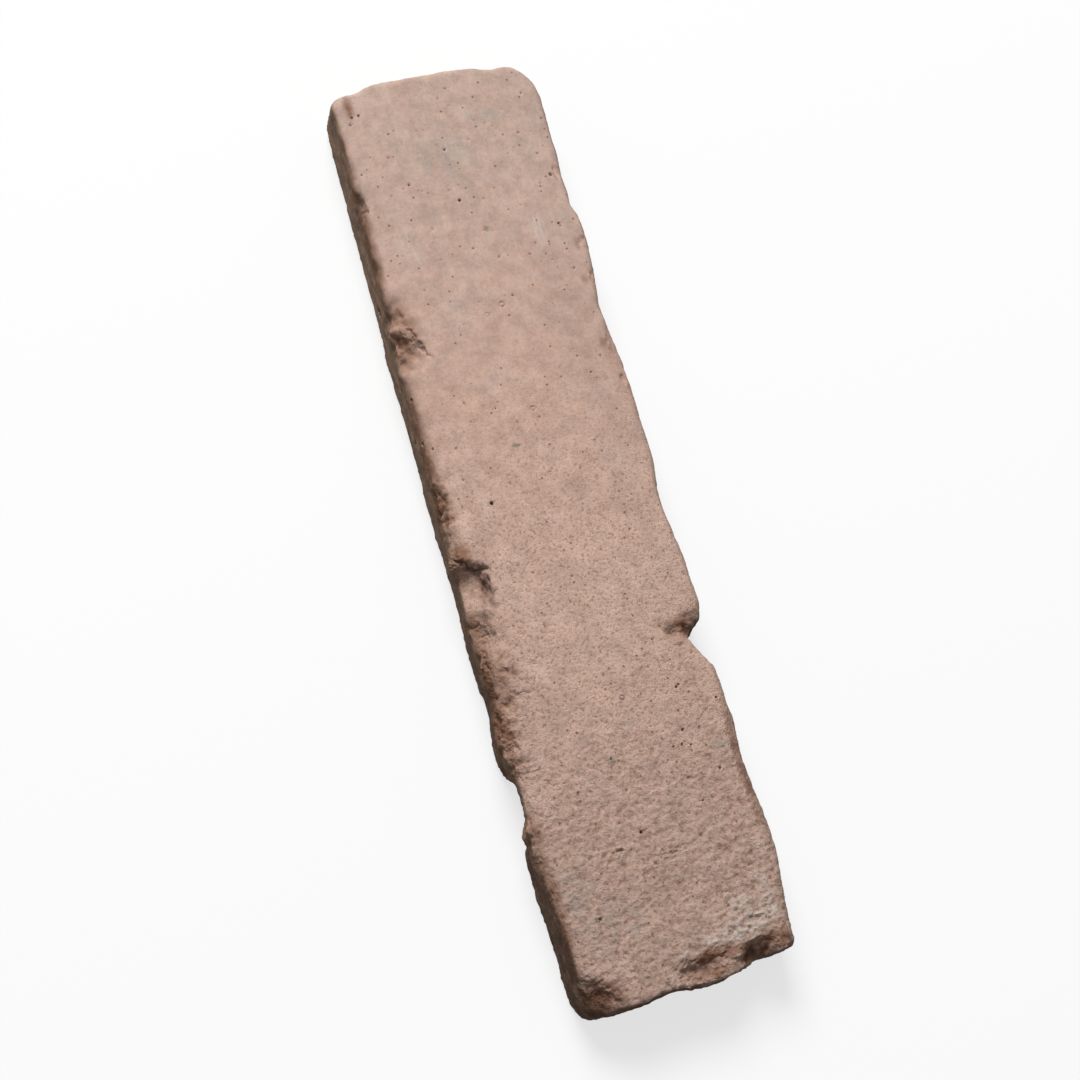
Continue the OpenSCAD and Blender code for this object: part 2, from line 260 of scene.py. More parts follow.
# Pinholes left by air bubbles against the mould: place, radius.
PINHOLES = [
    ((76.3, 1.7), 0.40), ((90.0, 1.7), 0.35), ((82.4, 12.4), 0.35), ((96.4, 13.8), 0.30),
    ((79.4, 8.6), 0.25), ((80.2, 9.7), 0.25), ((80.2, 1.0), 0.25), ((79.0, -21.6), 0.45),
    ((102.5, -8.7), 0.30), ((103.8, -0.3), 0.25), ((106.0, -2.8), 0.30), ((101.3, -2.3), 0.25),
    ((91.3, -17.0), 0.30), ((101.5, -20.5), 0.30), ((87.0, 22.7), 0.30), ((91.5, -4.7), 0.25),
    ((96.3, -7.3), 0.25), ((94.0, -11.3), 0.25), ((90.2, 15.4), 0.30), ((66.0, -19.9), 0.35),
    ((60.2, -3.6), 0.30), ((63.5, 1.8), 0.30), ((62.0, 10.0), 0.25), ((70.0, 10.0), 0.25),
    ((73.3, 14.2), 0.30), ((80.2, 17.2), 0.25), ((64.7, 18.6), 0.25), ((75.6, -4.0), 0.25),
    ((72.3, -12.2), 0.25), ((85.0, -20.0), 0.30), ((98.0, -14.6), 0.25), ((77.0, -18.4), 0.25),
    ((100.4, 22.0), 0.35), ((102.2, 21.2), 0.30), ((102.5, 19.5), 0.35), ((1.3, 14.5), 0.45),
    ((8.0, 19.3), 0.30), ((15.7, 18.9), 0.30), ((17.0, 24.0), 0.30), ((9.7, 22.0), 0.25),
    ((6.8, 8.9), 0.25), ((23.4, 7.5), 0.30), ((30.3, 11.5), 0.25), ((19.2, 3.5), 0.30),
    ((21.3, 13.9), 0.25), ((45.0, 9.2), 0.25), ((50.0, -4.0), 0.30), ((49.8, 4.2), 0.25),
    ((27.7, -9.5), 0.30), ((27.6, -16.7), 0.30), ((25.8, -17.7), 0.25), ((8.2, -13.7), 0.30),
    ((49.6, -15.4), 0.25), ((49.9, -17.2), 0.25), ((57.0, -15.8), 0.25), ((34.0, -14.3), 0.25),
    ((54.0, -20.3), 0.30), ((6.3, -1.2), 0.25), ((-19.3, 1.5), 0.30), ((-49.2, -14.1), 0.35),
    ((-48.7, -14.7), 0.30), ((-53.5, -22.2), 0.35), ((-12.7, -9.0), 0.25), ((-12.0, -15.8), 0.25),
    ((-16.5, 10.0), 0.25), ((-43.0, 10.0), 0.25), ((-18.0, 13.3), 0.25), ((-58.8, -12.6), 0.35),
    ((-37.5, -12.0), 0.30), ((-78.4, 3.0), 0.40), ((-94.3, 17.0), 0.35), ((-75.0, -12.3), 0.30),
    ((-69.0, -18.2), 0.35), ((-62.0, -9.5), 0.30), ((-62.0, -11.5), 0.30), ((-62.5, -13.4), 0.30),
    ((-61.5, 4.8), 0.30),
]

# Pits in the upper side: x, height above the back, radius.
SIDE_PITS = [
    (21.3, 7.6, 0.50), (19.4, 12.0, 0.40), (30.4, 12.0, 0.45), (35.4, 7.1, 0.50), (55.0, 6.8, 0.70),
    (56.2, 6.2, 0.70),
]

# Bubbles that stopped just under the skin and show as a ring: place, radius.
RINGS = [
    ((48.3, -1.0), 0.60), ((46.4, 3.1), 0.45), ((21.6, -1.0), 0.50), ((5.5, -0.5), 0.45),
    ((-48.8, -1.5), 0.50),
]

# Soft-edged patches of colour: place, reach along x and y, strength.
GREY_CLOUDS = [
    ((88, 3), (9, 11), 1.0), ((50, 10), (4, 3), 0.8), ((47, 6), (2, 2), 0.7), ((42.5, 12.5), (3, 2), 0.7),
    ((-42.5, 19.5), (1.5, 3), 1.1), ((-38, 19.8), (1.4, 2), 1.0), ((-54.5, -1), (2, 3), 1.0),
    ((62, 12), (5, 6), 0.6), ((98, -10), (7, 8), 0.9), ((-96, 14), (9, 10), 0.95),
    ((-88, 20), (10, 6), 0.9), ((-64, -20), (3, 3), 0.8), ((-70, -19), (2, 2), 0.8),
    ((-62, 5), (3, 3), 0.7), ((-84, -10), (10, 8), 0.6),
]
GREY_SPOTS = [
    ((13.6, 5.2), (0.8, 1.8), 1.0), ((29.3, 0.8), (0.6, 1.4), 0.8), ((68, -2.5), (1.0, 0.9), 1.0),
    ((68, 10), (0.7, 0.9), 0.7), ((1.3, 14.6), (1.2, 0.7), 0.9), ((62, 2), (0.6, 0.8), 0.7),
    ((109, 7), (0.6, 0.6), 0.8), ((40, -1), (0.5, 0.7), 0.6), ((2.4, -10.4), (0.6, 1.4), 0.6),
    ((-54.6, 0.2), (0.9, 1.6), 0.7), ((-62.2, 5), (0.6, 1.4), 0.8),
]
DUSKY_AREAS = [
    ((95, -20), (22, 7), 0.9), ((45, -17), (30, 8), 1.0), ((10, -19), (30, 7), 1.0),
    ((-25, -17), (20, 8), 0.9),
]
DEPOSITS = [
    ((-102, -16), (4.2, 4.4), 1.0), ((-104, -11), (2.4, 4), 1.0), ((-100.5, -20), (4, 2), 1.0),
    ((-104.8, -6), (1.4, 3), 1.0), ((-106, 0.5), (1.2, 3), 0.8), ((-98, -13), (4, 4), 0.7),
    ((-95, -19.5), (4, 1.8), 0.6), ((-88, -21.5), (4, 1.2), 0.5), ((-104, 14), (1.4, 3), 0.4),
]
BROWN_STAINS = [
    ((-107.4, -5), (1.8, 9), 1.0), ((-106.6, -18), (2.2, 3), 1.0), ((-108, -21), (3, 2), 0.9),
    ((-70, -23.6), (18, 1.6), 0.8), ((105, 21.4), (3.5, 1.3), 1.0), ((75, 24.8), (30, 1.4), 0.8),
    ((-36.4, -20.6), (3, 2.4), 0.9), ((50.6, -21.8), (1.8, 1.4), 0.6), ((60, -22.8), (2.4, 0.9), 0.6),
    ((34, -21.8), (3, 1.2), 0.6), ((-92, 25.2), (24, 1.8), 0.8), ((18, 26.2), (20, 2.2), 0.9),
    ((-18, 21.2), (5, 1.4), 0.7), ((-42, 26.2), (20, 2.8), 0.9), ((-25, 25.4), (4, 2.4), 0.8),
    ((-38, 23.4), (10, 2.6), 0.6), ((45, 24), (12, 3.2), 0.65), ((4, 25.6), (7, 2.2), 0.8),
    ((-110.5, 22), (5, 6), 1.0), ((75, 25), (5, 1.4), 0.7), ((-8.6, 24.4), (4, 2.4), 0.7),
    ((-111, -3), (1.6, 5), 0.8),
]
# Dark patches in rough nooks, of soil and painted shade: place, reach along x and y, strength.
GRIME_AND_SHADE = [
    ((-111.4, 23), (4, 5), 1.2), ((-107.6, 24.4), (1.8, 1.8), 1.3), ((-109.6, -14), (1.6, 2.8), 0.7),
    ((-34, 27), (5, 1.6), 0.9), ((45.0, 23.9), (1.4, 1.0), 0.5), ((50.6, 25.4), (1.6, 0.8), 0.7),
    ((39.0, 24.8), (1.0, 0.8), 0.7), ((52, 25), (2.2, 1.6), 0.7), ((79.4, 24.8), (3.2, 1.5), 1.0),
    ((62.6, 25.6), (1.6, 1.0), 0.8), ((-36.7, -21.4), (1.3, 2.2), 1.2), ((-35.6, -16.4), (1.6, 1.6), 0.8),
    ((-35, -22.8), (1.4, 1.4), 1.0), ((0.3, 25.2), (1.4, 1.0), 0.7), ((6, 26.4), (5, 1.2), 0.7),
    ((-12.2, 22), (1.0, 2.6), 0.8), ((-18.4, 20.6), (5, 1.0), 1.4),
]
# Dry-brushed pale dabs, where the face was rubbed: place, reach along x and y, strength.
PALE_DABS = [
    ((66, -14.5), (6, 2.6), 1.0), ((66, 17), (12, 6), 0.7), ((53, -9.8), (2.5, 1.0), 0.8),
    ((7, -17.3), (6, 0.4), 1.0), ((48, -19.5), (3, 0.5), 1.0), ((92, 12), (10, 6), 0.6),
    ((16, -5), (3, 1.2), 0.7), ((98, -6), (5, 3), 0.6),
]


def linear(code):
    """An sRGB hex colour as linear red, green and blue."""
    shares = [int(code[place:place + 2], 16) / 255 for place in (1, 3, 5)]
    return [s / 12.92 if s <= 0.04045 else ((s + 0.055) / 1.055) ** 2.4 for s in shares]


def colour_property(name, description, code):
    """A colour that a user can change, with its default given as a hex value."""
    return bpy.props.FloatVectorProperty(
        name=name, description=description, default=linear(code), size=3, subtype="COLOR", min=0, max=1)


def length_property(name, description, millimetres):
    """A length that a user can change, with its default given in millimetres."""
    return bpy.props.FloatProperty(
        name=name, description=description, default=millimetres * MM, min=0,
        subtype="DISTANCE", unit="LENGTH")


class CladdingTileSettings(bpy.types.PropertyGroup):
    """Relief and colours of the tile."""

    cell: length_property("Mesh cell", "Side of the quads that carry the relief", 0.7)
    face_wave: length_property("Face wave", "Height of the slow waves in the cast face", 0.10)
    grain: length_property("Grain", "Height of the sandy grain of the whole face", 0.07)
    crumple: length_property("Crumple", "Height of the crumpled texture at the worn end", 0.29)
    ragged: length_property("Ragged", "How far the side edges waver between their larger bends", 0.3)
    pitting: length_property("Pitting", "Depth of the small pits at the worn end", 0.2)
    crease: length_property("Crease depth", "Depth of the short creases at the worn end", 0.22)
    rubble: length_property("Rubble", "Height of the rubble inside the spalls", 0.8)
    face_pink: colour_property("Pink face", "Pinker blotches of the cast face", "#C9A593")
    face_dun: colour_property("Dun face", "Greyer blotches of the cast face", "#C5A799")
    face_pale: colour_property("Pale face", "Rubbed streaks of the cast face", "#D3BAAD")
    face_deep: colour_property("Deep face", "Duskier side of the cast face", "#B4998C")
    painted_light_middle: colour_property("Rubbed", "Cleaner, lighter middle of the face", "#E0BFAD")
    # Painted light: lightens the middle of the face.
    faded: colour_property("Faded", "Greyer tone of the far end", "#BFA89B")
    worn: colour_property("Worn", "Dustier tone of the worn end", "#C0A596")
    grey: colour_property("Grey clouds", "Thin grey film of weathering", "#AFA196")
    smudge: colour_property("Smudges", "Dull smudges of soil", "#978A7C")
    spot: colour_property("Grey spots", "Small spots of grey-green growth", "#857E71")
    broken: colour_property("Broken", "Browner concrete inside spalls", "#A17D69")
    stain: colour_property("Stain", "Warm brown stain along the worn arris", "#86604A")
    side: colour_property("Side", "Soiled brown of the cast sides", "#A0846F")
    deposit: colour_property("Deposit", "Whitish lime that has come out of the concrete", "#DDD4CC")
    # Also paints the shade in the small pits and the dents of the worn end and the rubble.
    speck: colour_property("Specks", "Dark sand in the mix and dust in small pits", "#875E48")
    # Also the painted shade in grooves, pinholes, nooks and on the sides towards the near end.
    dirt_and_shade: colour_property("Dirt", "Dirt held in cracks and pinholes", "#503E33")
    back: colour_property("Back", "Greyer concrete of the screeded back", "#B3A498")


class CladdingStageSettings(bpy.types.PropertyGroup):
    """Camera, light and floor."""

    lens: bpy.props.FloatProperty(
        name="Lens", description="Focal length of the camera", default=75, min=10, unit="CAMERA")
    key_power: bpy.props.FloatProperty(
        name="Key", description="Power of the soft lamp over the far end", default=50, min=0, unit="POWER")
    sky: bpy.props.FloatProperty(
        name="Sky", description="Strength of the even light from all round", default=0.2, min=0)
    floor: colour_property("Floor", "Colour of the floor to the camera", "#FFFFFF")
    floor_bounce: colour_property(
        "Floor bounce", "Colour of the floor to the light it throws back", "#6E6A66")


def ramp(low, high, values):
    """Values eased from 0 at low to 1 at high."""
    share = np.clip((values - low) / (high - low), 0, 1)
    return share * share * (3 - 2 * share)


def near_face(heights, fade):
    """How near heights are to the face, eased from 0 at the first depth under it to 1 at the second."""
    deep, shallow = fade
    return ramp(FACE_LEVEL - deep, FACE_LEVEL - shallow, heights)


def fractal(points, size, octaves=4, seed=0.0, fading=1.0):
    """Fractal noise at points in millimetres, about -1 to 1, with its largest lumps about size across.

    A fading of 1 halves the height at each finer octave, and a lower one leaves more of the fine ones.
    """
    places = points / np.asarray(size, float) + seed
    return np.array([noise.fractal(place, fading, 2.0, octaves) for place in places.tolist()])


def patches(points, entries):
    """The strongest of some soft-edged oval patches at each point."""
    best = np.zeros(len(points))
    for place, reach, strength in entries:
        away = (points[:, :2] - place) / reach
        best = np.maximum(best, strength * np.exp(-(away ** 2).sum(axis=1)))
    return best


def groove_depth(places, groove):
    """How deep a groove is cut at each place on the face."""
    cut = np.zeros(len(places))
    for start, end in zip(np.array(groove[:-1]), np.array(groove[1:])):
        along = (end - start)[:2]
        share = np.clip((places - start[:2]) @ along / (along @ along), 0, 1)
        away = np.linalg.norm(places - start[:2] - share[:, None] * along, axis=1)
        _, _, width, depth = start[:, None] + share * (end - start)[:, None]
        cut = np.maximum(cut, depth * np.clip(1 - away / width, 0, 1))
    return cut


def mesh_points(mesh):
    """The mesh's points in millimetres."""
    flat = np.empty(len(mesh.vertices) * 3)
    mesh.vertices.foreach_get("co", flat)
    return flat.reshape(-1, 3) / MM


def set_mesh_points(mesh, points):
    """Moves the mesh's points to places in millimetres."""
    mesh.vertices.foreach_set("co", (points * MM).ravel())
    mesh.update()


def mesh_normals(mesh):
    """The mesh's normals at its points."""
    flat = np.empty(len(mesh.vertices) * 3)
    mesh.vertex_normals.foreach_get("vector", flat)
    return flat.reshape(-1, 3)


def even_copy(node, name, cell):
    """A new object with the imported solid's shape in small even quads, and its flat back in triangles."""
    piece = bpy.data.objects.new(name, node.data.copy())
    bpy.context.scene.collection.objects.link(piece)
    piece.data.materials.clear()
    grid = piece.modifiers.new("even_quads", "REMESH")
    grid.mode = "VOXEL"
    grid.voxel_size = cell
    bpy.context.view_layer.update()
    mesh = bpy.data.meshes.new_from_object(piece.evaluated_get(bpy.context.evaluated_depsgraph_get()))
    piece.modifiers.clear()
    piece.data = mesh
    mesh.name = name
    shape = bmesh.new()
    shape.from_mesh(mesh)
    on_back = [
        face for face in shape.faces
        if face.normal.z < BACK_FACING and face.calc_center_median().z < cell
    ]
    bmesh.ops.delete(shape, geom=on_back, context="FACES")
    rim = [edge for edge in shape.edges if edge.is_boundary]
    for vertex in {v for edge in rim for v in edge.verts}:
        vertex.co.z = 0.0
    made = bmesh.ops.edgeloop_fill(shape, edges=rim)
    bmesh.ops.triangulate(shape, faces=made["faces"])
    bmesh.ops.recalc_face_normals(shape, faces=shape.faces)
    shape.to_mesh(mesh)
    shape.free()
    return piece


def soften(mesh, passes, start=-np.inf, end=np.inf, above=-np.inf):
    """Eases each point above the back towards its neighbours, from one x to another and above a y."""
    points = mesh_points(mesh)
    ends = np.empty(len(mesh.edges) * 2, dtype=np.int64)
    mesh.edges.foreach_get("vertices", ends)
    first, second = ends.reshape(-1, 2).T
    number = len(points)
    neighbours = np.bincount(ends, minlength=number)
    x, y, z = points.T
    held = (z < BACK_LEVEL) | (x < start) | (x > end) | (y < above)
    for _ in range(passes):
        total = np.empty_like(points)
        for axis in range(3):
            column = points[:, axis]
            total[:, axis] = np.bincount(first, column[second], number)
            total[:, axis] += np.bincount(second, column[first], number)
        eased = (points + total / neighbours[:, None]) / 2
        points = np.where(held[:, None], points, eased)
    set_mesh_points(mesh, points)


def fill(points):
    """Raises the floors of the hollows that have filled up."""
    depth = np.maximum(FACE_LEVEL - points[:, 2], 0)
    points[:, 2] += patches(points, FILLED) * ramp(*FILL_FADE, depth) * depth


def lean_out(points):
    """Leans the upper part of a side out, so that the face runs out over it."""
    high = near_face(points[:, 2], LEAN_FADE)
    for place, reach, far, way in OVERHANGS:
        share = patches(points, [(place, reach, far)]) * high
        points[:, :2] += share[:, None] * np.array(way)


def wear_corner(points):
    """Draws the points of the far lower corner in to its curve."""
    middle, radius, widening = ROUND_CORNER
    away = points[:, :2] - middle
    angle = np.arctan2(-away[:, 1], away[:, 0])
    limit = radius * (1 + widening * np.cos(2 * angle) ** 2)
    share = limit / np.maximum(np.linalg.norm(away, axis=1), limit)
    in_corner = (away[:, 0] > 0) & (away[:, 1] < 0)
    points[:, :2] = middle + np.where(in_corner, share, 1)[:, None] * away


def cut_notch(points):
    """Cuts the notch in the lower edge down to its sharp corner."""
    xs, ys = zip(*NOTCH)
    lowest = np.interp(points[:, 0], xs, ys, left=-np.inf, right=-np.inf)
    points[:, 1] = np.maximum(points[:, 1], lowest)


def refine(mesh, wanted, cuts):
    """Splits the quads whose middle is wanted into smaller ones."""
    shape = bmesh.new()
    shape.from_mesh(mesh)
    middles = np.array([face.calc_center_median() for face in shape.faces]) / MM
    chosen = wanted(middles)
    edges = {edge for face, take in zip(shape.faces, chosen) if take for edge in face.edges}
    ordered = sorted(edges, key=lambda edge: edge.index)
    bmesh.ops.subdivide_edges(shape, edges=ordered, cuts=cuts, use_grid_fill=True)
    shape.to_mesh(mesh)
    shape.free()


def turned(points, degrees):
    """Points seen from axes that are turned about z."""
    turn = math.radians(degrees)
    across = [[math.cos(turn), -math.sin(turn), 0], [math.sin(turn), math.cos(turn), 0], [0, 0, 1]]
    return np.asarray(points) @ np.array(across)


def spall_distance(points, spall):
    """Distance of each point from a spall's centre, in shares of its radii: 1 on its ellipsoid."""
    (x, y, depth), radii, turn, _, _ = spall
    return np.linalg.norm(turned(points - [x, y, FACE_LEVEL - depth], turn) / radii, axis=1)


def knock_off(points, spalls):
    """Moves the points inside each spall's wavering ellipsoid out onto its surface."""
    for number, spall in enumerate(spalls):
        (x, y, depth), radii, turn, push, roughness = spall
        near = np.flatnonzero(spall_distance(points, spall) < SPALL_SEARCH)
        waver = 1 + roughness * fractal(points[near], SPALL_LUMP, octaves=4, seed=7.3 * number)
        local = turned(points[near] - [x, y, FACE_LEVEL - depth], turn) / radii / waver[:, None]
        step = turned([push], turn) / radii / waver[:, None]
        square = (step ** 2).sum(axis=1)
        middle = (local * step).sum(axis=1)
        rest = (local ** 2).sum(axis=1) - 1
        travel = (-middle + np.sqrt(np.maximum(middle ** 2 - square * rest, 0))) / square
        points[near] += np.where(rest < 0, travel, 0)[:, None] * np.array(push)


def near_groove(points):
    """Whether a face's middle is close to a groove."""
    close = np.zeros(len(points), bool)
    for groove in GROOVES:
        wider = [(x, y, width + GROOVE_MARGIN, 1) for x, y, width, _ in groove]
        close |= groove_depth(points[:, :2], wider) > 0
    return close & (points[:, 2] > FACE_LEVEL - BROKEN_DEPTH)


def near_bubble(points):
    """Whether a face's middle is close to a pinhole, a ring or a pit in the upper side."""
    close = np.zeros(len(points), bool)
    for place, radius in PINHOLES + RINGS:
        close |= np.linalg.norm(points[:, :2] - place, axis=1) < radius + BUBBLE_MARGIN
    close &= points[:, 2] > FACE_LEVEL - BUBBLE_DEPTH
    for x, z, radius in SIDE_PITS:
        away = np.linalg.norm(points[:, [0, 2]] - [x, z], axis=1)
        close |= (away < radius + SIDE_PIT_MARGIN) & (points[:, 1] > UPPER_STRIP)
    return close


def at_worn_end(points):
    """Whether a face's middle is on the rough end of the face."""
    start = WORN_START + WORN_START_WAVER * fractal(points, 8, octaves=1)
    return (points[:, 0] < start) & (points[:, 2] > FACE_LEVEL - WORN_DEPTH)


def in_broken_area(points):
    """Whether a face's middle is in or just outside a spall with a crisp rim, or in rubble."""
    near = np.any([spall_distance(points, spall) < RIM_OUTSIDE for spall in FRESH_SPALLS], axis=0)
    rubble = patches(points, BROKEN_AREAS) > FINE_RUBBLE
    return near | rubble & (points[:, 2] > FACE_LEVEL - BROKEN_DEPTH)


def store(mesh, name, values):
    """Keeps one number per point on the mesh, for the material to read."""
    kept = mesh.attributes.new(name, "FLOAT", "POINT")
    kept.data.foreach_set("value", np.clip(values, 0, 1).astype(np.float32))


def bowl(away):
    """The depth of a round pit with a flat floor, at distances in shares of its radius."""
    return np.clip(1.15 - away ** 2, 0, 1)


def small_cuts(points, normals, high):
    """How deep grooves, pinholes, rings and pits are cut at each point, and how much gets dirt and painted
    shade.
    """
    bend = [fractal(points, 2.2, octaves=3, seed=seed) for seed in (41.0, 57.0)]
    places = points[:, :2] + GROOVE_BEND * np.stack(bend, axis=1)
    cut = np.zeros(len(points))
    narrow = np.zeros(len(points))
    for groove in GROOVES:
        depth = high * groove_depth(places, groove)
        cut = np.maximum(cut, depth)
        widest = max(width for _, _, width, _ in groove)
        narrow = np.maximum(narrow, depth * min(1, DIRT_AND_SHADE_WIDTH / widest))
    bubbles = np.zeros(len(points))
    on_face = normals[:, 2] > 0.5
    on_upper_side = normals[:, 1] > 0.4
    for place, radius in PINHOLES:
        away = np.linalg.norm(points[:, :2] - place, axis=1) / radius
        bubbles += PIT_DEPTH * (radius - CLOSED_PINHOLE) * bowl(away) * on_face
    for place, radius in RINGS:
        away = np.linalg.norm(points[:, :2] - place, axis=1) / radius
        bubbles += RING_DEPTH * radius * np.clip(1 - np.abs(away - 1) / RING_WIDTH, 0, 1) * on_face
    for x, z, radius in SIDE_PITS:
        away = np.linalg.norm(points[:, [0, 2]] - [x, z], axis=1) / radius
        bubbles += PIT_DEPTH * radius * bowl(away) * on_upper_side
    return cut + bubbles, narrow + bubbles


def wear_edges(mesh):
    """Fills, leans out, rounds and breaks the edges, and makes the mesh finer where the relief needs it."""
    points = mesh_points(mesh)
    fill(points)
    lean_out(points)
    wear_corner(points)
    knock_off(points, OLD_SPALLS)
    set_mesh_points(mesh, points)
    soften(mesh, EASING)
    for start, end, passes in RUBBED_ARRIS:
        soften(mesh, passes, start, end, UPPER_STRIP)
    refine(mesh, at_worn_end, cuts=1)
    refine(mesh, in_broken_area, cuts=1)
    refine(mesh, near_groove, cuts=1)
    refine(mesh, near_bubble, cuts=2)


def carve(mesh, settings):
    """Works the fine relief into the tile and stores where its surface is broken, hollow, worn or stained,
    and where shade, a highlight and light are painted onto it.
    """
    points = mesh_points(mesh)
    above_back = points[:, 2] > BACK_LEVEL
    knock_off(points, FRESH_SPALLS)
    cut_notch(points)
    set_mesh_points(mesh, points)
    normals = mesh_normals(mesh)
    x, y, z = points.T

    # Where the surface looks up, belongs to a side, is worn, is near the face or is broken.
    upward = np.clip(normals[:, 2], 0, 1)
    side = np.where(y < 0, ramp(0.4, 0.0, normals[:, 2]), ramp(0.75, 0.15, normals[:, 2]))
    worn = ramp(-30, -85, x)
    high = near_face(z, WEAR_FADE)
    rims = [ramp(RIM_OUTSIDE, RIM_INSIDE, spall_distance(points, spall)) for spall in FRESH_SPALLS]
    broken = np.maximum(0.6 * np.max(rims, axis=0), high * patches(points, BROKEN_AREAS))

    # Travel along the normal: slow waves, grain, crumple, small pits, ragged sides, rubble and lumps.
    travel = settings.face_wave / MM * fractal(points, 24, octaves=2) * upward
    sandiness = 0.4 + 0.6 * ramp(40, -50, x)
    travel += settings.grain / MM * sandiness * fractal(points, 1.5, octaves=3, seed=3.0)
    crumpled = fractal(turned(points, 20), (0.95, 1.7, 1.2), octaves=3, seed=13.0, fading=0.6)
    lime = patches(points, DEPOSITS)
    crumple = settings.crumple / MM * (1 + 0.8 * lime)
    travel += crumple * np.maximum(worn * upward, 0.5 * side) * crumpled
    pitted = ramp(0.35, 0.75, fractal(points, 1.1, octaves=3, seed=51.0, fading=0.7))
    pits = np.maximum(worn, 0.4 * ramp(10, -40, x)) * pitted
    travel -= settings.pitting / MM * pits * upward
    ragged = fractal(points, (7.0, 5.0, 2.5), octaves=4, seed=61.0, fading=0.8)
    travel += settings.ragged / MM * (1 - upward) * ragged
    lumps = fractal(points, (3.0, 2.4, 2.6), octaves=4, seed=11.0, fading=0.85)
    travel += settings.rubble / MM * broken * lumps
    for place, radius, height in LUMPS:
        travel += height * high * np.exp(-((points[:, :2] - place) ** 2).sum(axis=1) / radius ** 2)

    # Cuts against the normal: creases, grooves and bubbles.
    lines = np.abs(fractal(points, (4.0, 5.5, 4.0), octaves=3, seed=21.0))
    lengths = ramp(0.1, 0.4, fractal(points, 6.0, octaves=2, seed=33.0))
    creases = settings.crease / MM * np.clip(1 - lines / 0.07, 0, 1) * lengths * worn * upward
    cut, narrow = small_cuts(points, normals, high)
    cut += creases
    points += normals * np.where(above_back, travel - cut, 0)[:, None]
    points[:, 2] = np.maximum(points[:, 2], 0)
    set_mesh_points(mesh, points)

    # Painted shade in the low parts of the rubble.
    crevices = 0.8 * np.minimum(broken, 1) * ramp(-0.15, -0.55, lumps)
    # Dust and painted shade in the small pits and in the dents of the crumple and the rubble.
    dents = [pits, worn * ramp(-0.3, -0.8, crumpled), broken * ramp(0, -0.5, lumps)]
    kept = {
        # Grooves, creases, pinholes and pits: darkened with dirt and painted shade.
        "hollow": (narrow + creases) / DIRT_AND_SHADE_DEPTH,
        "pit": np.max(dents, axis=0),
        "broken": broken,
        "side": side,
        # Dirt and painted shade: the sides darken towards the near end.
        "side_dirt_and_shade": side * ramp(80, -100, x) * (1 - 0.8 * broken),
        "worn": worn,
        "rough": 0.15 + 0.85 * ramp(60, -60, x),
        "sandy": ramp(60, -20, x) * (1 - 0.2 * worn),
        # Painted light across the middle of the face.
        "painted_light_middle": np.exp(-((x + 30) / 42) ** 2),
        "faded": ramp(0, 100, x),
        "dusky": patches(points, DUSKY_AREAS),
        "grey_cloud": patches(points, GREY_CLOUDS),
        "grey_spot": patches(points, GREY_SPOTS),
        "pale_dab": patches(points, PALE_DABS),
        # Whitish lime, laid thicker on the crests of the crumple as a painted highlight.
        "deposit": lime * (0.5 + 0.5 * ramp(-0.3, 0.4, crumpled)),
        # Dark nooks and low rubble: soil and painted shade.
        "grime_and_shade": high * np.maximum(patches(points, GRIME_AND_SHADE), crevices),
        "stain": high * patches(points, BROWN_STAINS),
    }
    for name, values in kept.items():
        store(mesh, name, values)


def add(tree, kind, links=None, values=None, **settings):
    """A new node with its settings, its unlinked values and its incoming links."""
    made = tree.nodes.new(kind)
    for name, value in settings.items():
        setattr(made, name, value)
    for socket, value in (values or {}).items():
        made.inputs[socket].default_value = value
    for socket, source in (links or {}).items():
        tree.links.new(source, made.inputs[socket])
    return made


def per_metre(millimetres):
    """A texture's scale for features of that size."""
    return 1 / (millimetres * MM)


def new_material(name):
    """An empty node material and its tree."""
    material = bpy.data.materials.new(name)
    material.use_nodes = True
    material.node_tree.nodes.clear()
    return material, material.node_tree


def lay(tree, under, colour, low, high, most, pattern=None, patch=None):
    """One colour laid over another: none of it at low, the most at high.

    Low and high are values of a pattern, of a patch kept on the mesh, or of their product.
    """
    share = pattern
    if patch is not None:
        share = add(tree, "ShaderNodeAttribute", attribute_name=patch).outputs["Fac"]
    if patch is not None and pattern is not None:
        share = add(tree, "ShaderNodeMath", {0: share, 1: pattern}, operation="MULTIPLY").outputs[0]
    factor = add(tree, "ShaderNodeMapRange", {"Value": share},
                 {"From Min": low, "From Max": high, "To Max": most}).outputs["Result"]
    return add(tree, "ShaderNodeMix", {0: factor, 6: under}, {7: (*colour, 1)},
               data_type="RGBA").outputs[2]


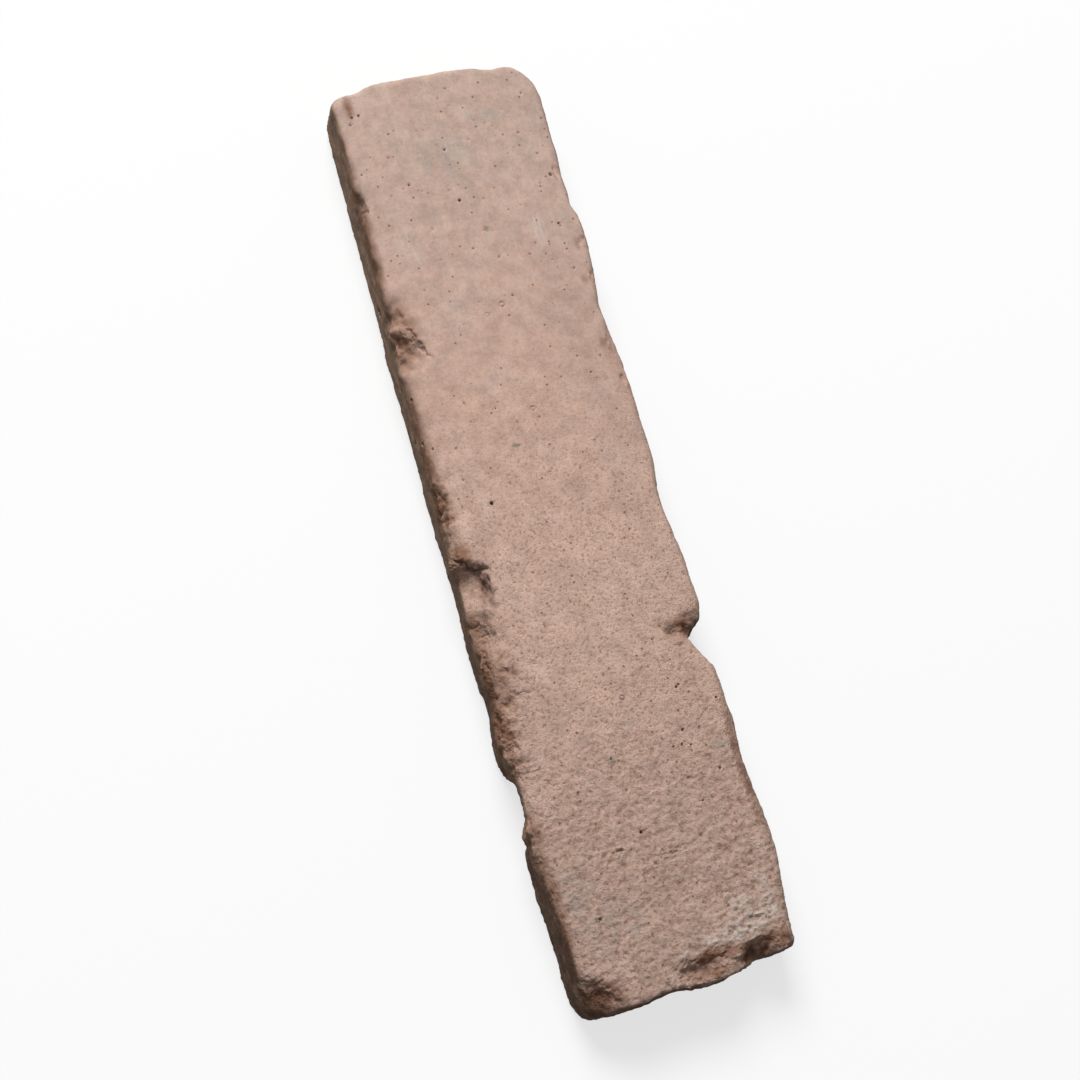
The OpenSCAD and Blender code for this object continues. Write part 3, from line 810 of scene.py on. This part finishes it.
def moulded_concrete(settings):
    """Pigmented concrete cast against a rubber mould: dead matt, cloudy, faintly streaked along its length.

    The eye gets a dusty pinkish beige with slow clouds, sand grains, grey weathering, brown stains and
    whitish lime. Shade is painted into its cracks, pits and nooks and onto the sides towards the near end,
    a highlight onto the crests under the lime, and light across the middle of the face.
    """
    material, tree = new_material("moulded_pigmented_concrete")
    place = add(tree, "ShaderNodeTexCoord").outputs["Object"]
    cloud = add(tree, "ShaderNodeTexNoise", {"Vector": place},
                {"Scale": per_metre(14), "Detail": 4, "Roughness": 0.55}).outputs["Fac"]
    blotch = add(tree, "ShaderNodeTexNoise", {"Vector": place},
                 {"Scale": per_metre(3.5), "Detail": 4, "Roughness": 0.6}).outputs["Fac"]
    mottle = add(tree, "ShaderNodeTexNoise", {"Vector": place},
                 {"Scale": per_metre(4), "Detail": 4, "Roughness": 0.9, "W": 2},
                 noise_dimensions="4D").outputs["Fac"]
    tint = add(tree, "ShaderNodeTexNoise", {"Vector": place},
               {"Scale": per_metre(2), "Detail": 3, "Roughness": 0.9, "W": 5},
               noise_dimensions="4D").outputs["Fac"]

    # Most of the sand is finer than this, and would not show if it were drawn at its own size.
    grain = add(tree, "ShaderNodeTexNoise", {"Vector": place},
                {"Scale": per_metre(0.8), "Detail": 3, "Roughness": 0.8}).outputs["Fac"]

    # Faint streaks along the course, and dry strokes where the face was rubbed.
    along = add(tree, "ShaderNodeVectorMath", {0: place},
                {1: (per_metre(9), per_metre(1.2), per_metre(1.2))}, operation="MULTIPLY").outputs["Vector"]
    streak = add(tree, "ShaderNodeTexNoise", {"Vector": along}, {"Scale": 1, "Detail": 3}).outputs["Fac"]
    brushed = add(tree, "ShaderNodeVectorMath", {0: place},
                  {1: (per_metre(6), per_metre(0.5), per_metre(0.5))}, operation="MULTIPLY").outputs["Vector"]
    stroke = add(tree, "ShaderNodeTexNoise", {"Vector": brushed}, {"Scale": 1, "Detail": 2}).outputs["Fac"]

    # Sand: fine dark grains everywhere, and a few coarse ones picked out of evenly spread cells.
    fine = add(tree, "ShaderNodeMapRange", {"Value": grain},
               {"From Min": 0.47, "From Max": 0.32, "To Max": 0.8}).outputs["Result"]
    cells = add(tree, "ShaderNodeTexVoronoi", {"Vector": place}, {"Scale": per_metre(1.8)}).outputs
    near = add(tree, "ShaderNodeMapRange", {"Value": cells["Distance"]},
               {"From Min": 0.2, "From Max": 0.1, "To Max": 0.9}).outputs["Result"]
    picked = add(tree, "ShaderNodeMapRange", {"Value": cells["Color"]},
                 {"From Min": 0.66, "From Max": 0.7, "To Max": 1}).outputs["Result"]
    coarse = add(tree, "ShaderNodeMath", {0: near, 1: picked}, operation="MULTIPLY").outputs[0]

    # Layers from the lowest up: colour, low, high, most, pattern, patch. The mottle shades the pigment only.
    pigment = [
        (settings.face_pale, 0.5, 0.75, 0.4, cloud),
        (settings.face_pale, 0.55, 0.8, 0.4, streak),
        (settings.face_deep, 0.1, 0.6, 0.6, cloud, "dusky"),
        (settings.faded, 0.1, 0.6, 0.7, blotch, "faded"),
        (settings.worn, 0.1, 0.6, 0.7, blotch, "worn"),
        # Painted light: the middle of the face made lighter.
        (settings.painted_light_middle, 0.0, 0.5, 0.45, cloud, "painted_light_middle"),
        (settings.grey, 0.3, 0.56, 0.8, blotch, "grey_cloud"),
    ]
    weathering = [
        (settings.spot, 0.2, 0.45, 0.9, tint, "grey_spot"),
        (settings.smudge, 0.36, 0.2, 0.3, blotch),
        (settings.deposit, 0.25, 0.65, 0.45, stroke, "pale_dab"),
        (settings.broken, 0.1, 0.6, 0.8, blotch, "broken"),
        (settings.side, 0.1, 0.5, 0.9, blotch, "side"),
        (settings.stain, 0.12, 0.5, 0.95, blotch, "stain"),
        # The sides darken towards the near end: dirt and painted shade.
        (settings.dirt_and_shade, 0.05, 0.6, 0.8, blotch, "side_dirt_and_shade"),
        # Dark nooks and low rubble: soil and painted shade.
        (settings.dirt_and_shade, 0.2, 0.5, 0.7, blotch, "grime_and_shade"),
        # Whitish lime, thicker on the crests as a painted highlight.
        (settings.deposit, 0.08, 0.55, 0.74, grain, "deposit"),
        # Dust and painted shade in the small pits and the dents of the crumple and the rubble.
        (settings.speck, 0, 1, 0.5, None, "pit"),
        (settings.speck, 0, 1, 1, fine, "sandy"),
        (settings.speck, 0, 1, 1, coarse),
        # Grooves, creases, pinholes and pits: dirt and painted shade.
        (settings.dirt_and_shade, 0.1, 0.9, 0.85, None, "hollow"),
    ]
    pinkness = add(tree, "ShaderNodeMapRange", {"Value": tint},
                   {"From Min": 0.4, "From Max": 0.6, "To Max": 1}).outputs["Result"]
    tone = add(tree, "ShaderNodeMix", {0: pinkness},
               {6: (*settings.face_dun, 1), 7: (*settings.face_pink, 1)}, data_type="RGBA").outputs[2]
    for layer in pigment:
        tone = lay(tree, tone, *layer)
    shade = add(tree, "ShaderNodeMapRange", {"Value": mottle},
                {"From Min": 0.38, "From Max": 0.62, "To Min": 0.84, "To Max": 1.14}).outputs["Result"]
    tone = add(tree, "ShaderNodeMix", {6: tone, 7: shade}, {0: 1},
               data_type="RGBA", blend_type="MULTIPLY").outputs[2]
    for layer in weathering:
        tone = lay(tree, tone, *layer)
    rough = add(tree, "ShaderNodeAttribute", attribute_name="rough").outputs["Fac"]
    bump = add(tree, "ShaderNodeBump", {"Height": grain, "Strength": rough}, {"Distance": 0.55 * MM})
    shader = add(tree, "ShaderNodeBsdfPrincipled", {"Base Color": tone, "Normal": bump.outputs["Normal"]},
                 {"Roughness": 0.92, "IOR": 1.5, "Specular IOR Level": 0.25})
    add(tree, "ShaderNodeOutputMaterial", {"Surface": shader.outputs["BSDF"]})
    return material


def screeded_concrete(settings):
    """The same concrete where it was struck off level with the mould.

    The eye gets a greyer, dead matt face with the drag lines of the screed bar.
    """
    material, tree = new_material("screeded_pigmented_concrete")
    place = add(tree, "ShaderNodeTexCoord").outputs["Object"]
    across = add(tree, "ShaderNodeVectorMath", {0: place},
                 {1: (per_metre(1.6), per_metre(30), per_metre(5))}, operation="MULTIPLY").outputs["Vector"]
    drag = add(tree, "ShaderNodeTexNoise", {"Vector": across}, {"Scale": 1, "Detail": 3}).outputs["Fac"]
    cloud = add(tree, "ShaderNodeTexNoise", {"Vector": place},
                {"Scale": per_metre(18), "Detail": 5, "Roughness": 0.65}).outputs["Fac"]
    tone = add(tree, "ShaderNodeMix", {0: cloud}, {6: (*settings.face_deep, 1), 7: (*settings.back, 1)},
               data_type="RGBA").outputs[2]
    bump = add(tree, "ShaderNodeBump", {"Height": drag}, {"Strength": 0.6, "Distance": 0.3 * MM})
    shader = add(tree, "ShaderNodeBsdfPrincipled", {"Base Color": tone, "Normal": bump.outputs["Normal"]},
                 {"Roughness": 0.95, "IOR": 1.5, "Specular IOR Level": 0.25})
    add(tree, "ShaderNodeOutputMaterial", {"Surface": shader.outputs["BSDF"]})
    return material


class CLADDING_OT_tile(bpy.types.Operator):
    """Make the cast tile with its worn face"""

    bl_idname = "cladding.tile"
    bl_label = "Cast Tile"

    def execute(self, context):
        settings = context.scene.cladding_tile
        piece = even_copy(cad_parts[NODE], "tile_body", settings.cell)
        mesh = piece.data
        wear_edges(mesh)
        carve(mesh, settings)
        mesh.materials.append(moulded_concrete(settings))
        mesh.materials.append(screeded_concrete(settings))
        for face in mesh.polygons:
            on_back = face.normal.z < BACK_FACING and face.center.z < settings.cell / 2
            face.material_index = int(on_back)
        mesh.shade_smooth()
        mesh.set_sharp_from_angle(angle=math.radians(SHARP_ANGLE))
        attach(piece, "root")
        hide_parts(NODE)
        return {"FINISHED"}


class CLADDING_OT_stage(bpy.types.Operator):
    """Make the floor, the light and the camera"""

    bl_idname = "cladding.stage"
    bl_label = "Stage"

    def execute(self, context):
        settings = context.scene.cladding_stage
        self.floor(settings)
        self.light(context.scene, settings)
        self.camera(context.scene, settings)
        context.scene.view_settings.view_transform = "Standard"
        return {"FINISHED"}

    def floor(self, settings):
        """A large sheet of matt paper: near white to the camera, with the tile's shadow on it.

        To the light that it throws back at the tile it is duller.
        """
        half = FLOOR_HALF_SIDE
        corners = [(-half, -half, 0), (half, -half, 0), (half, half, 0), (-half, half, 0)]
        mesh = bpy.data.meshes.new("floor")
        mesh.from_pydata(corners, [], [(0, 1, 2, 3)])
        floor = bpy.data.objects.new("floor", mesh)
        bpy.context.scene.collection.objects.link(floor)
        floor.location.z = -FLOOR_DROP * MM
        material, tree = new_material("matt_paper")
        rays = add(tree, "ShaderNodeLightPath").outputs
        seen = rays["Is Camera Ray"]
        for kind in ("Is Glossy Ray", "Is Transmission Ray"):
            seen = add(tree, "ShaderNodeMath", {0: seen, 1: rays[kind]}, operation="MAXIMUM").outputs[0]
        paper = add(tree, "ShaderNodeBsdfDiffuse", None, {"Color": (*settings.floor, 1)}).outputs[0]
        glow = add(tree, "ShaderNodeEmission", None,
                   {"Color": (*settings.floor, 1), "Strength": 1}).outputs[0]
        shown = add(tree, "ShaderNodeMixShader", {1: paper, 2: glow}, {0: FLOOR_GLOW}).outputs[0]
        dull = add(tree, "ShaderNodeBsdfDiffuse", None, {"Color": (*settings.floor_bounce, 1)}).outputs[0]
        both = add(tree, "ShaderNodeMixShader", {0: seen, 1: dull, 2: shown})
        add(tree, "ShaderNodeOutputMaterial", {"Surface": both.outputs[0]})
        mesh.materials.append(material)

    def light(self, scene, settings):
        """One large soft lamp above the far end, and an even sky."""
        lamp = bpy.data.lights.new("key", "AREA")
        lamp.shape = "DISK"
        lamp.size = KEY_SIZE
        lamp.energy = settings.key_power
        key = bpy.data.objects.new("key", lamp)
        scene.collection.objects.link(key)
        key.location = KEY_PLACE
        key.rotation_euler = (Vector((0, 0, 0)) - key.location).to_track_quat("-Z", "Y").to_euler()
        world = bpy.data.worlds.new("sky")
        scene.world = world
        world.use_nodes = True
        background = world.node_tree.nodes["Background"]
        background.inputs["Color"].default_value = (1, 1, 1, 1)
        background.inputs["Strength"].default_value = settings.sky

    def camera(self, scene, settings):
        """A camera that looks down on the near end at a slant, a little turned."""
        turn = math.radians(CAMERA_TURN)
        rise = math.radians(CAMERA_RISE)
        roll = math.radians(CAMERA_ROLL)
        back = Vector((math.sin(turn) * math.cos(rise), -math.cos(turn) * math.cos(rise), math.sin(rise)))
        right = Vector((0, 0, 1)).cross(back).normalized()
        up = back.cross(right)
        across = math.cos(roll) * right + math.sin(roll) * up
        upright = math.cos(roll) * up - math.sin(roll) * right
        eye = Vector([place * MM for place in CAMERA_TARGET]) + CAMERA_DISTANCE * MM * back
        data = bpy.data.cameras.new("camera")
        data.lens = settings.lens
        data.sensor_width = SENSOR_WIDTH
        camera = bpy.data.objects.new("camera", data)
        scene.collection.objects.link(camera)
        axes = Matrix((across, upright, back)).transposed()
        camera.matrix_world = Matrix.Translation(eye) @ axes.to_4x4()
        scene.camera = camera


class CLADDING_PT_panel(bpy.types.Panel):
    """Lists the tile's and the stage's settings and their operators"""

    bl_label = "Cladding Tile"
    bl_idname = "CLADDING_PT_panel"
    bl_space_type = "VIEW_3D"
    bl_region_type = "UI"
    bl_category = "Cladding"

    def draw(self, context):
        scene = context.scene
        groups = ((scene.cladding_tile, CLADDING_OT_tile), (scene.cladding_stage, CLADDING_OT_stage))
        for settings, operator in groups:
            box = self.layout.box()
            for name in settings.__annotations__:
                box.prop(settings, name)
            box.operator(operator.bl_idname)


CLASSES = (
    CladdingTileSettings, CladdingStageSettings, CLADDING_OT_tile, CLADDING_OT_stage, CLADDING_PT_panel,
)


def register():
    for item in CLASSES:
        bpy.utils.register_class(item)
    bpy.types.Scene.cladding_tile = bpy.props.PointerProperty(type=CladdingTileSettings)
    bpy.types.Scene.cladding_stage = bpy.props.PointerProperty(type=CladdingStageSettings)


def unregister():
    del bpy.types.Scene.cladding_stage
    del bpy.types.Scene.cladding_tile
    for item in reversed(CLASSES):
        bpy.utils.unregister_class(item)


def main():
    """Builds the tile and the stage."""
    register()
    bpy.ops.cladding.tile()
    bpy.ops.cladding.stage()


if __name__ == "__main__":
    main()
